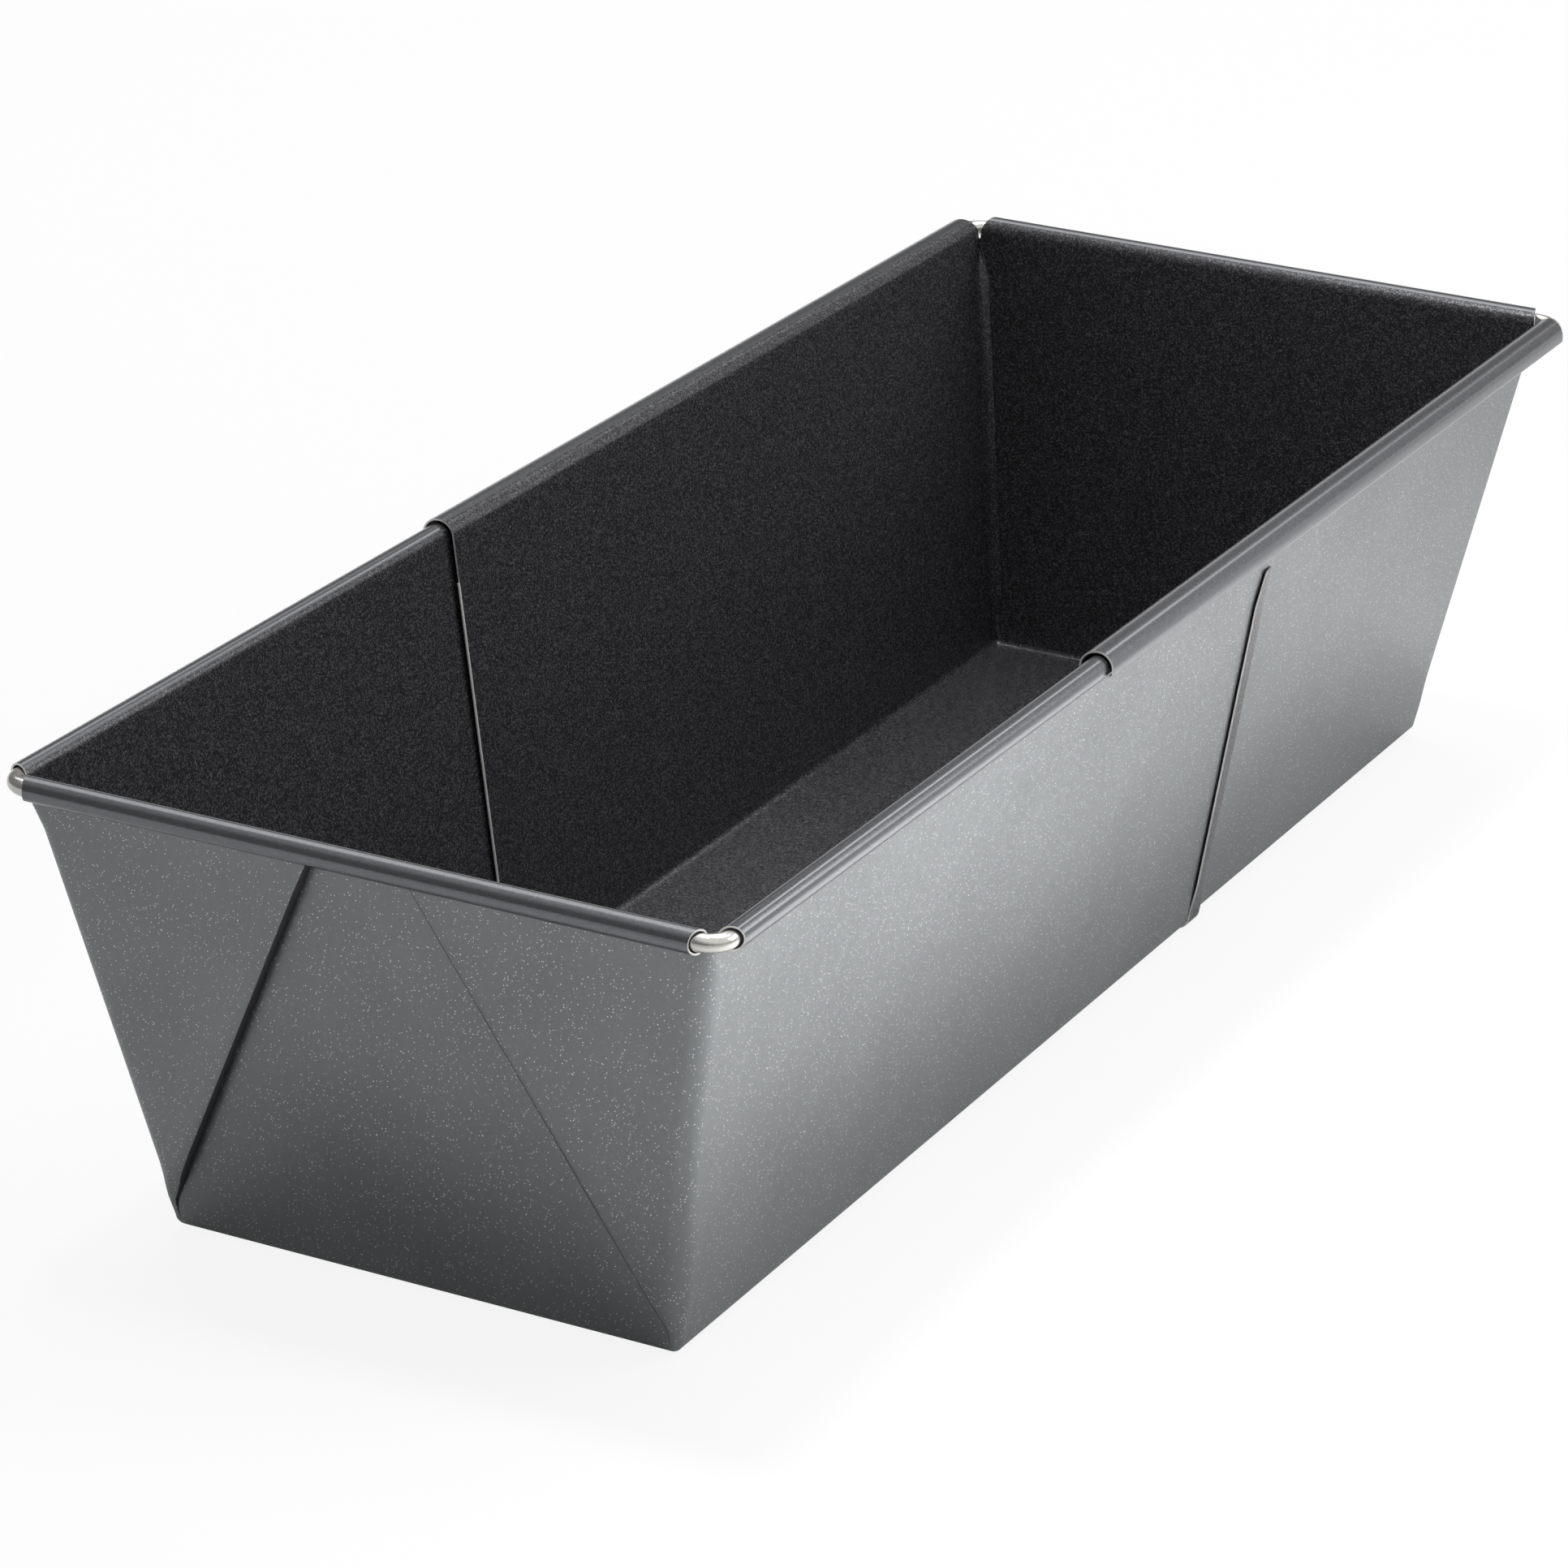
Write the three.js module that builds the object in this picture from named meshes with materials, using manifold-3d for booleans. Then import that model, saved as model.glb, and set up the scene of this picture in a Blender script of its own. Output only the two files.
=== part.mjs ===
// Extendable loaf pan: two folded sheet-steel halves that slide one inside the other.
// Millimetres, +Z up. X runs across the pan and Y along it, from the front half to the rear half.
// The origin is on the table, under the middle of the pan as it stands drawn out.
import * as THREE from "three";
import Module from "manifold-3d";

const wasm = await Module();
wasm.setup();

// Sheet and wire
const sheet = 0.3;
const wireDiameter = 2.9;

// The whole pan, drawn out
const rimWidth = 120; // over the side beads of the front half
const openLength = 320; // over the two end beads
const rimHeight = 76.6; // floor underside to bead top, on the front half
const sideLeanOut = 16.9; // foot of a side wall to the outside of its bead, level
const endLeanOut = 19.75; // foot of an end wall to the outside of its bead, level

// The two halves, each from the outside of its end bead to its open edge at the floor
const frontLength = 202;
const rearLength = 200.5;
const frontEdgeSlant = 6.2; // how much shorter a half is at its rim than at its floor
const rearEdgeSlant = 3.8;

// Folds and corners
const floorFold = 2; // inside radius of the front half's fold between floor and walls
const cornerFold = 2.2; // inside radius of the upright corners
const floorCornerShare = 0.25; // what is left of a corner radius down at the floor

// Clearances between the two halves
const hemClearance = 0.15; // the rear half's hem over the front half's floor
const sideClearance = 0.85; // between the walls, up at the rim
const topClearance = 0.5; // the rear half's bead over the front half's bead
const outsideClearance = 0.5;

// Beads: the front half's is rolled right round its wire, the rear half's hooks over it
const wireClearance = 0.15;
const rollEnd = THREE.MathUtils.degToRad(-115); // where the front half's roll stops, from level
const hookDrop = 0.55; // straight drop on the outside of the rear half's bead
const lipRadius = 0.5;
const lipTurn = THREE.MathUtils.degToRad(110);
const frontNotch = 1; // from the crossing of two walls to each bead's cut end
const rearNotch = 0.2;
const notchSlope = 0.35; // run of the slanted cut for each millimetre across the bead
const notchDrop = 0.8; // bead centre to the top of the sheet in the corner notches
const footLap = 0.8; // how far a bead's foot laps into its wall
const footRelief = 0.03; // thinning of that foot on each face

// Hems along the open edges, folded outwards
const hemWidth = 4;
const hemTopWidth = 1.5;
const hemTop = 4.3; // bead centre to the top of the hem
const hemTrim = 9; // height over which the hem is trimmed to its top width
const hemNose = 0.15; // rounding of the hem's folded edge

// Gusset flaps, folded flat against the outside of the end walls
const flapThickness = 0.7;
const flapLean = THREE.MathUtils.degToRad(26); // free edge from the end wall's fall line
const flapTop = 1.5; // bead centre to the top of the flap
const flapTipWidth = 3.2; // width at which the flap starts, down at the corner
const flapTipTaper = 2.5; // further width over which it comes to its thickness
const flapTipShare = 0.2; // thickness that it starts with

// Rim wires
const frontWireBend = 3.4; // centre-line radius at the corners
const frontWireSetback = 5; // open edge at the rim to the end of the wire
const rearWireBend = 5;
const rearWireLeg = 8;
const rearWireShift = 0.6; // the rear wire lies towards the outside of its loose bead
const rearWireRise = 0.35;

// Fineness of curves
const foldSteps = 6;
const cornerSteps = 6;
const rollSteps = 24;
const lipSteps = 6;
const noseSteps = 6;
const wireSides = 16;
const bendSteps = 8;
const overrun = 5; // how far a cutting solid runs past what it cuts

// Sizes that both halves share
const half = sheet / 2;
const wireRadius = wireDiameter / 2;
const frontRollMid = wireRadius + wireClearance + half;
const frontRollOuter = frontRollMid + half;
const rollX = rimWidth / 2 - frontRollOuter;
const rollZ = sheet + rimHeight - frontRollOuter;
const foldX = rimWidth / 2 - sideLeanOut - floorFold - sheet;
const foldZ = sheet + floorFold + sheet;

// Angle of a wall from the upright, from the run and rise between the centres of its bead
// and its floor fold, and the two radii that the wall touches.
function wallLean(run, rise, radii) {
  return Math.atan2(run, rise) - Math.asin(radii / Math.hypot(run, rise));
}

// All that describes one half. Its own frame has the outside of the end bead at y = 0 and
// the open edge at +y. The bead's sizes are from its centre to the middle of the sheet.
function describeHalf(length, edgeSlant, notch, foldMid, bead) {
  const rollY = bead.outside + half;
  const foldY = endLeanOut + foldMid + half;
  const radii = foldMid + bead.wallSide;
  return {
    length,
    edgeSlant,
    notch,
    foldMid,
    bead,
    rollY,
    foldY,
    sideLean: wallLean(rollX - foldX, rollZ - foldZ, radii),
    endLean: wallLean(foldY - rollY, rollZ - foldZ, radii),
  };
}

const frontPan = describeHalf(frontLength, frontEdgeSlant, frontNotch, floorFold + half, {
  wallSide: frontRollMid,
  top: frontRollMid,
  outside: frontRollMid,
  hooked: false,
});
const rearFold = floorFold - hemClearance - sheet - half;
const rearPan = describeHalf(rearLength, rearEdgeSlant, rearNotch, rearFold, {
  wallSide: frontRollOuter + sideClearance + half,
  top: frontRollOuter + topClearance + half,
  outside: frontRollOuter + outsideClearance + half,
  hooked: true,
});

// How far a wall's face stands beyond the centre of its floor fold, at a height and at an
// offset outwards from the middle of the sheet.
function flare(pan, lean, z, offset) {
  const radius = pan.foldMid + offset;
  const rise = z - foldZ;
  const tangentRise = -radius * Math.sin(lean);
  if (rise < tangentRise) {
    return Math.sqrt(Math.max(0, radius * radius - rise * rise));
  }
  return radius * Math.cos(lean) + (rise - tangentRise) * Math.tan(lean);
}

// The open edge slants back from the floor to the rim.
function openY(pan, z) {
  return pan.length - (pan.edgeSlant * z) / (sheet + rimHeight);
}

function arc(x, y, radius, from, to, steps) {
  const points = [];
  for (let i = 0; i <= steps; i += 1) {
    const angle = from + ((to - from) * i) / steps;
    points.push(new THREE.Vector2(x + radius * Math.cos(angle), y + radius * Math.sin(angle)));
  }
  return points;
}

// A closed solid through rings of points, with a list of triangles to close each end.
function loft(rings, firstCap, lastCap) {
  const count = rings[0].length;
  const last = (rings.length - 1) * count;
  const corners = [];
  for (let k = 0; k + 1 < rings.length; k += 1) {
    for (let i = 0; i < count; i += 1) {
      const a = k * count + i;
      const b = k * count + ((i + 1) % count);
      corners.push(a, b, b + count, a, b + count, a + count);
    }
  }
  firstCap.forEach(([a, b, c]) => corners.push(a, c, b));
  lastCap.forEach(([a, b, c]) => corners.push(last + a, last + b, last + c));
  return toSolid(rings.flat(), corners);
}

// Triangles over a flat outline, each turning the way that the outline does.
function flatCap(outline) {
  const turn = Math.sign(THREE.ShapeUtils.area(outline));
  return THREE.ShapeUtils.triangulateShape(outline, []).map(([a, b, c]) => {
    const same = Math.sign(THREE.ShapeUtils.area([outline[a], outline[b], outline[c]])) === turn;
    return same ? [a, b, c] : [a, c, b];
  });
}

// Triangles across a band whose outline runs up one face and back down the other.
function bandCap(outline) {
  const triangles = [];
  for (let i = 0; i + 1 < outline.length / 2; i += 1) {
    const across = outline.length - 1 - i;
    triangles.push([i, i + 1, across - 1], [i, across - 1, across]);
  }
  return triangles;
}

// The sign of the volume tells whether the faces point out; if not, all are turned over.
function toSolid(points, corners) {
  let volume = 0;
  for (let i = 0; i < corners.length; i += 3) {
    const [a, b, c] = [points[corners[i]], points[corners[i + 1]], points[corners[i + 2]]];
    volume += a.dot(b.clone().cross(c));
  }
  const triVerts = new Uint32Array(volume < 0 ? corners.toReversed() : corners);
  const vertProperties = new Float32Array(points.flatMap((point) => point.toArray()));
  return new wasm.Manifold(new wasm.Mesh({ numProp: 3, vertProperties, triVerts }));
}

// Level outline of the tray: two straight sides, the end wall and its two round corners.
function trayOutline(pan, z, offset, runPast) {
  const sideRun = flare(pan, pan.sideLean, z, offset);
  const x = foldX + sideRun;
  const y = pan.foldY - flare(pan, pan.endLean, z, offset);
  const fullRun = (pan.foldMid + offset) * Math.cos(pan.sideLean);
  const share = floorCornerShare + (1 - floorCornerShare) * Math.min(1, sideRun / fullRun);
  const radius = (cornerFold + half + offset) * share;
  const open = openY(pan, z) + runPast;
  return [
    new THREE.Vector2(x, open),
    ...arc(x - radius, y + radius, radius, 0, -Math.PI / 2, cornerSteps),
    ...arc(radius - x, y + radius, radius, -Math.PI / 2, -Math.PI, cornerSteps),
    new THREE.Vector2(-x, open),
  ];
}

function trayBlock(pan, offset, top, runPast) {
  const radius = pan.foldMid + offset;
  const turn = Math.PI / 2 - Math.min(pan.sideLean, pan.endLean);
  const levels = [];
  for (let i = 0; i <= foldSteps; i += 1) {
    levels.push(foldZ - radius * Math.cos((turn * i) / foldSteps));
  }
  levels.push(top);
  const outlines = levels.map((z) => trayOutline(pan, z, offset, runPast));
  const rings = outlines.map((outline, k) => outline.map((p) => new THREE.Vector3(p.x, p.y, levels[k])));
  return loft(rings, flatCap(outlines[0]), flatCap(outlines[outlines.length - 1]));
}

// Floor, side walls and end wall, up to the bottom of the corner notches.
function tray(pan) {
  const top = rollZ - notchDrop;
  return trayBlock(pan, half, top, 0).subtract(trayBlock(pan, -half, top + overrun, overrun));
}

// Middle line of a bead, outwards and upwards from its centre, with the sheet's outward
// normal at each point. It starts with the foot, which laps into the wall.
function beadLine(bead, lean) {
  const wide = Math.sqrt(bead.wallSide ** 2 - (bead.top * Math.sin(lean)) ** 2) / Math.cos(lean);
  const start = Math.PI - Math.atan((bead.top / wide) * Math.tan(lean));
  const stop = bead.hooked ? 0 : rollEnd;
  const line = [];
  for (let i = 0; i <= rollSteps; i += 1) {
    const angle = start + ((stop - start) * i) / rollSteps;
    const across = angle > Math.PI / 2 ? wide : bead.outside;
    const point = new THREE.Vector2(across * Math.cos(angle), bead.top * Math.sin(angle));
    const normal = new THREE.Vector2(Math.cos(angle) / across, Math.sin(angle) / bead.top).normalize();
    line.push({ point, normal });
  }
  if (bead.hooked) {
    const lip = new THREE.Vector2(bead.outside - lipRadius, -hookDrop);
    for (const point of arc(lip.x, lip.y, lipRadius, 0, -lipTurn, lipSteps)) {
      line.push({ point, normal: point.clone().sub(lip).normalize() });
    }
  }
  const fall = new THREE.Vector2(-Math.tan(lean), -1);
  const footHeight = line[0].point.y + notchDrop + footLap;
  line.unshift({ point: line[0].point.clone().addScaledVector(fall, footHeight), normal: line[0].normal });
  return line;
}

function beadOutline(bead, lean) {
  const line = beadLine(bead, lean);
  const face = (side) => line.map(({ point, normal }, i) => {
    const depth = i === 0 ? half - footRelief : half;
    return point.clone().addScaledVector(normal, side * depth);
  });
  return [...face(1), ...face(-1).reverse()];
}

// The cuts in the corner notches slant, so that a bead is longest beside its wall.
function notchRun(pan, p) {
  return pan.bead.wallSide + pan.notch + notchSlope * (p.x + pan.bead.wallSide);
}

function sideBead(pan, side) {
  const outline = beadOutline(pan.bead, pan.sideLean);
  const place = (p, y) => new THREE.Vector3(side * (rollX + p.x), y, rollZ + p.y);
  const closedEnd = outline.map((p) => place(p, pan.rollY + notchRun(pan, p)));
  const openEnd = outline.map((p) => place(p, openY(pan, rollZ + p.y)));
  return loft([closedEnd, openEnd], bandCap(outline), bandCap(outline));
}

function endBead(pan) {
  const outline = beadOutline(pan.bead, pan.endLean);
  const end = (side) => outline.map((p) => (
    new THREE.Vector3(side * (rollX - notchRun(pan, p)), pan.rollY - p.x, rollZ + p.y)
  ));
  return loft([end(-1), end(1)], bandCap(outline), bandCap(outline));
}

// Half of a hem's outline on one face, from the middle of the floor's fold up to the hem's top.
function hemFace(pan, offset) {
  const radius = pan.foldMid + offset;
  const points = arc(foldX, foldZ, radius, -Math.PI / 2, -pan.sideLean, foldSteps);
  for (const z of [rollZ - hemTop - hemTrim, rollZ - hemTop]) {
    points.push(new THREE.Vector2(foldX + flare(pan, pan.sideLean, z, offset), z));
  }
  return points;
}

function hemOutline(pan, outer) {
  const bothSides = (points) => [...points.map((p) => new THREE.Vector2(-p.x, p.y)).reverse(), ...points];
  return [...bothSides(hemFace(pan, outer)), ...bothSides(hemFace(pan, 0)).reverse()];
}

// The second layer of sheet along the open edge, on the outside of both walls and the floor.
function hem(pan) {
  const widthAt = (z) => {
    const trimmed = Math.max(0, z - (rollZ - hemTop - hemTrim)) / hemTrim;
    return hemWidth - (hemWidth - hemTopWidth) * trimmed;
  };
  const full = hemOutline(pan, half + sheet);
  const nose = hemOutline(pan, half + sheet - hemNose);
  const ring = (outline, back) => (
    outline.map((p) => new THREE.Vector3(p.x, openY(pan, p.y) - back(p.y), p.y))
  );
  const rings = [ring(full, widthAt), ring(full, () => hemNose), ring(nose, () => 0)];
  return loft(rings, bandCap(full), bandCap(nose));
}

// Level outline of a gusset flap, x outwards and y towards the end, with its inner edge in the
// middle of the wall's sheet. Its corner goes round the wall's own corner.
function flapOutline(pan, z, width, thickness) {
  const side = foldX + flare(pan, pan.sideLean, z, half);
  const end = flare(pan, pan.endLean, z, half);
  const inner = cornerFold + half;
  const outer = cornerFold + sheet + thickness;
  const nose = thickness / 2;
  return [
    ...arc(side - outer - footRelief, end + thickness - outer, outer, 0, Math.PI / 2, cornerSteps),
    ...arc(side - width + nose, end + nose, nose, Math.PI / 2, Math.PI * 1.5, noseSteps),
    new THREE.Vector2(side - width + nose, end - half),
    ...arc(side - half - inner, end - half - inner, inner, Math.PI / 2, 0, cornerSteps),
  ];
}

// A gusset flap: the spare sheet of a corner, pinched double and folded flat on the end wall.
// It is a triangle, with its point at the floor.
function flap(pan, side) {
  const spread = Math.tan(flapLean) / Math.cos(pan.endLean) + Math.tan(pan.sideLean);
  const top = rollZ - flapTop;
  const stations = [
    { width: flapTipWidth, thickness: flapThickness * flapTipShare },
    { width: flapTipWidth + flapTipTaper, thickness: flapThickness },
    { width: (top - foldZ) * spread, thickness: flapThickness },
  ];
  const levels = stations.map(({ width }) => foldZ + width / spread);
  const outlines = stations.map(({ width, thickness }, k) => flapOutline(pan, levels[k], width, thickness));
  const rings = outlines.map((outline, k) => (
    outline.map((p) => new THREE.Vector3(side * p.x, pan.foldY - p.y, levels[k]))
  ));
  return loft(rings, flatCap(outlines[0]), flatCap(outlines[outlines.length - 1]));
}

// One half of the pan is one sheet, so its tray, beads, hem and flaps are joined.
function foldedHalf(pan) {
  const pairs = [1, -1].flatMap((side) => [sideBead(pan, side), flap(pan, side)]);
  const whole = [endBead(pan), hem(pan), ...pairs].reduce((sum, part) => sum.add(part), tray(pan));
  const { vertProperties, triVerts } = whole.getMesh();
  const geometry = new THREE.BufferGeometry();
  geometry.setAttribute("position", new THREE.BufferAttribute(vertProperties, 3));
  geometry.setIndex(new THREE.BufferAttribute(triVerts, 1));
  return geometry;
}

// A path through points exactly as listed, straight from each to the next.
class PointPath extends THREE.Curve {
  constructor(points) {
    super();
    this.points = points;
  }

  getPoint(share) {
    const place = share * (this.points.length - 1);
    const i = Math.min(Math.floor(place), this.points.length - 2);
    return this.points[i].clone().lerp(this.points[i + 1], place - i);
  }

  getUtoTmapping(share) {
    return share;
  }
}

// A round wire along an end bead, bent at both corners, with a leg back along each side bead.
function rimWire(pan, bend, legEnd, shift, rise) {
  const x = rollX + shift - bend;
  const y = pan.rollY - shift + bend;
  const right = [new THREE.Vector2(x + bend, legEnd), ...arc(x, y, bend, 0, -Math.PI / 2, bendSteps)];
  const left = right.map((p) => new THREE.Vector2(-p.x, p.y)).reverse();
  const points = [...right, ...left].map((p) => new THREE.Vector3(p.x, p.y, rollZ + rise));
  const section = new THREE.Shape(arc(0, 0, wireRadius, 0, 2 * Math.PI, wireSides).slice(1));
  return new THREE.ExtrudeGeometry(section, {
    extrudePath: new PointPath(points),
    steps: points.length - 1,
    curveSegments: 1,
    bevelEnabled: false,
  });
}

const frontWireEnd = openY(frontPan, rollZ) - frontWireSetback;
const rearWireEnd = rearPan.rollY - rearWireShift + rearWireBend + rearWireLeg;

const frontSheet = new THREE.MeshStandardMaterial({ color: "#5b6065", roughness: 0.35, metalness: 0.6 });
const rearSheet = new THREE.MeshStandardMaterial({ color: "#3a3b3e", roughness: 0.4, metalness: 0.5 });
const brightWire = new THREE.MeshStandardMaterial({ color: "#c9cac8", roughness: 0.2, metalness: 1 });

function named(name, geometry, material) {
  const mesh = new THREE.Mesh(geometry, material);
  mesh.name = name;
  return mesh;
}

const front = new THREE.Group();
front.add(named("front_half", foldedHalf(frontPan), frontSheet));
front.add(named("front_rim_wire", rimWire(frontPan, frontWireBend, frontWireEnd, 0, 0), brightWire.clone()));
front.position.y = -openLength / 2;

const rear = new THREE.Group();
rear.add(named("rear_half", foldedHalf(rearPan), rearSheet));
rear.add(named(
  "rear_rim_wire",
  rimWire(rearPan, rearWireBend, rearWireEnd, rearWireShift, rearWireRise),
  brightWire.clone(),
));
rear.rotation.z = Math.PI;
rear.position.y = openLength / 2;

const pan = new THREE.Group();
pan.add(front, rear);
export default pan;
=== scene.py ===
import math

import bmesh
import bpy
from mathutils import Matrix, Vector


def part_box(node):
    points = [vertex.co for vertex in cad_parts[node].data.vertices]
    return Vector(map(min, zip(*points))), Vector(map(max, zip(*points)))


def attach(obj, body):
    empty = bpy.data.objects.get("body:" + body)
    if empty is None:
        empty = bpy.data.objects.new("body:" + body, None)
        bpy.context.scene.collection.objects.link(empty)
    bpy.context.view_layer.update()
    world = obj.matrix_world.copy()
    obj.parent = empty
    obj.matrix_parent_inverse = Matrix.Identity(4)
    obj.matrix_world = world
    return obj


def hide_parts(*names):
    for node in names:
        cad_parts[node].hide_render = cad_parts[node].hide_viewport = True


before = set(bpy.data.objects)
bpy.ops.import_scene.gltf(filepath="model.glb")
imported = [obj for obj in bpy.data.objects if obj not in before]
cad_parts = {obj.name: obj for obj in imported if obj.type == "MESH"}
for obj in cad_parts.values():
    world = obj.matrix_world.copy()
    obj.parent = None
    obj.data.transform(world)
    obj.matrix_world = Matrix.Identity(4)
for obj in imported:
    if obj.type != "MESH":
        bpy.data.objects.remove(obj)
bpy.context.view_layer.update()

# View
# The photograph looks down on the front right corner of the pan from about a metre away
# through a long lens, so that its edges run nearly parallel.
MM = 0.001
CAMERA_PLACE = Vector((414.9, -834.3, 411.7)) * MM
CAMERA_AZIMUTH = math.radians(27.20)
CAMERA_ELEVATION = math.radians(22.24)
CAMERA_ROLL = math.radians(1.17)
LENS_LENGTH = 141.5
FILM_WIDTH = 36
VIEW_REACH = 20

camera_data = bpy.data.cameras.new("camera")
camera_data.lens = LENS_LENGTH
camera_data.sensor_width = FILM_WIDTH
camera_data.clip_end = VIEW_REACH
camera = bpy.data.objects.new("camera", camera_data)
camera.matrix_world = (
    Matrix.Translation(CAMERA_PLACE)
    @ Matrix.Rotation(CAMERA_AZIMUTH, 4, "Z")
    @ Matrix.Rotation(math.pi / 2 - CAMERA_ELEVATION, 4, "X")
    @ Matrix.Rotation(CAMERA_ROLL, 4, "Z")
)
bpy.context.scene.collection.objects.link(camera)
bpy.context.scene.camera = camera

# Front half
# The outer of the two trays that slide in each other. One sheet of steel 0.3 mm thick, coated
# before it was bent: its floor, walls, hem and pinched corners are folded on a press, and its
# rim is rolled round a wire. It is built here as its middle surface, which then gets thickness.
SHEET = 0.3 * MM
HALF_SHEET = SHEET / 2
FLOOR_FOLD = 2.0 * MM
SIDE_LEAN_OUT = 16.9 * MM
END_LEAN_OUT = 19.75 * MM

# Bead: rolled round the wire on the front half, and ending in an inward lip where it is a hook.
# Here and below, a drop is measured down from its middle, and a rise up from the floor's fold
ROLL_OUTER = 1.9 * MM
ROLL_STOP = math.radians(-115)
HOOK_DROP = 0.55 * MM
LIP_RADIUS = 0.5 * MM
LIP_TURN = math.radians(110)
BURNISHED_BEFORE_CROWN = 1.1 * MM
BEAD_END_SLOPE = 0.35
SLIT_CLEARANCE = 0.1 * MM

# Corners: tight at the floor, round up the wall, and tight again under the bead
CORNER_RADIUS = 3.05 * MM
CORNER_AT_FLOOR = 1.3 * MM
CORNER_START_SHARE = 0.3
CORNER_OPEN_RISE = 5 * MM
CORNER_ROUND_RISE = 9 * MM
CORNER_TIGHTEN_DROP = 8 * MM
CORNER_TIGHT_DROP = 0.8 * MM
CORNER_TURN = 0.2 * MM

# Flaps: the spare metal of each corner, folded flat on the outside of the end wall. Each is two
# layers joined at its free fold, which springs open below the rim that holds its top
FLAP_LEAN = math.radians(26)
FLAP_LIFT = 0.64 * MM
FLAP_TOP_DROP = 1.5 * MM
FLAP_RETURN = 5 * MM
FLAP_RETURN_SHARE = 0.7
FOLD_NOSE = 0.17 * MM
NOSE_SPRING = 0.18
SPRING_FULL_WIDTH = 4 * MM
SPRING_RUN = 9 * MM
RIM_HOLD_DROP = 7 * MM
RIM_HOLD_SHARE = 0.3

# Hem: the open edge turned outwards and back, and cut narrower towards the rim
HEM_WIDTH = 4.0 * MM
HEM_TOP_WIDTH = 1.5 * MM
HEM_TOP_DROP = 4.3 * MM
HEM_TRIM = 9.0 * MM
HEM_SPRING_RISE = 7 * MM
HEM_CURL = 0.6

# Steps of the mesh: the wall's heights are rises in millimetres, and shares are parts of the way
# along a stretch
CORNER_STEPS = 8
LIP_STEPS = 8
FOLD_STEPS = 16
BEAD_STEPS = 40
NOSE_STEPS = 6
SLIT_STEPS = 4
WALL_HEIGHTS = [1, 2, 3.2, 4.6, 6.5, 9, 13, 20, 29, 39, 49, 59.1, 62, 65, 68.1, 70.9, 71.6]
SIDE_SHARES = [i / 16 for i in range(17)]
END_SHARES = [i / 8 for i in range(-8, 9)]
FLAP_SHARES = [0.12, 0.3, 0.5, 0.7, 0.82, 0.9, 0.96, 1.0]
RETURN_SHARES = [0.5, 1.0]
HEM_SHARES = [0.1, 0.3, 0.6, 1.0]
WELD = 0.002 * MM
SHARP_ABOVE = math.radians(35)

# Finishes of the sheet, and the one on its outer side wherever the inner side has a given one
# One finish is painted shade on the flaps' fold noses, nearly black in place of the shadow under
# their free folds.
INSIDE, OUTSIDE, CUT_EDGE_AND_FOLD_HIGHLIGHT, FLAP_FOLD_SHADE, BURNISHED = range(5)
# The cut finish also serves as a painted highlight on half of the rear hem's fold nose.
OTHER_SIDE = {INSIDE: OUTSIDE, BURNISHED: OUTSIDE, CUT_EDGE_AND_FOLD_HIGHLIGHT: CUT_EDGE_AND_FOLD_HIGHLIGHT, FLAP_FOLD_SHADE: FLAP_FOLD_SHADE}

front_low, front_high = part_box("front_half")
RIM_HEIGHT = front_high.z - front_low.z
ROLL_X = front_high.x - ROLL_OUTER
ROLL_Z = front_high.z - ROLL_OUTER
FOLD_X = front_high.x - SIDE_LEAN_OUT - FLOOR_FOLD - SHEET
# The hem's sheet is the lowest. The floor lies over it, and the fold's middle is above both
FOLD_Z = front_low.z + SHEET + FLOOR_FOLD + SHEET


def turning(start, stop, steps):
    """Angles in even steps from start to stop."""
    return [start + (stop - start) * i / steps for i in range(steps + 1)]


def arc(cx, cy, radius, start, stop, steps):
    return [(cx + radius * math.cos(angle), cy + radius * math.sin(angle))
            for angle in turning(start, stop, steps)]


def ease(value, low, high):
    """0 below low, 1 above high, and a smooth rise between them."""
    share = min(1.0, max(0.0, (value - low) / (high - low)))
    return share * share * (3 - 2 * share)


def spaced(start, stop, shares):
    """Places at the given shares of the way from start to stop."""
    return [start + (stop - start) * share for share in shares]


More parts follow.
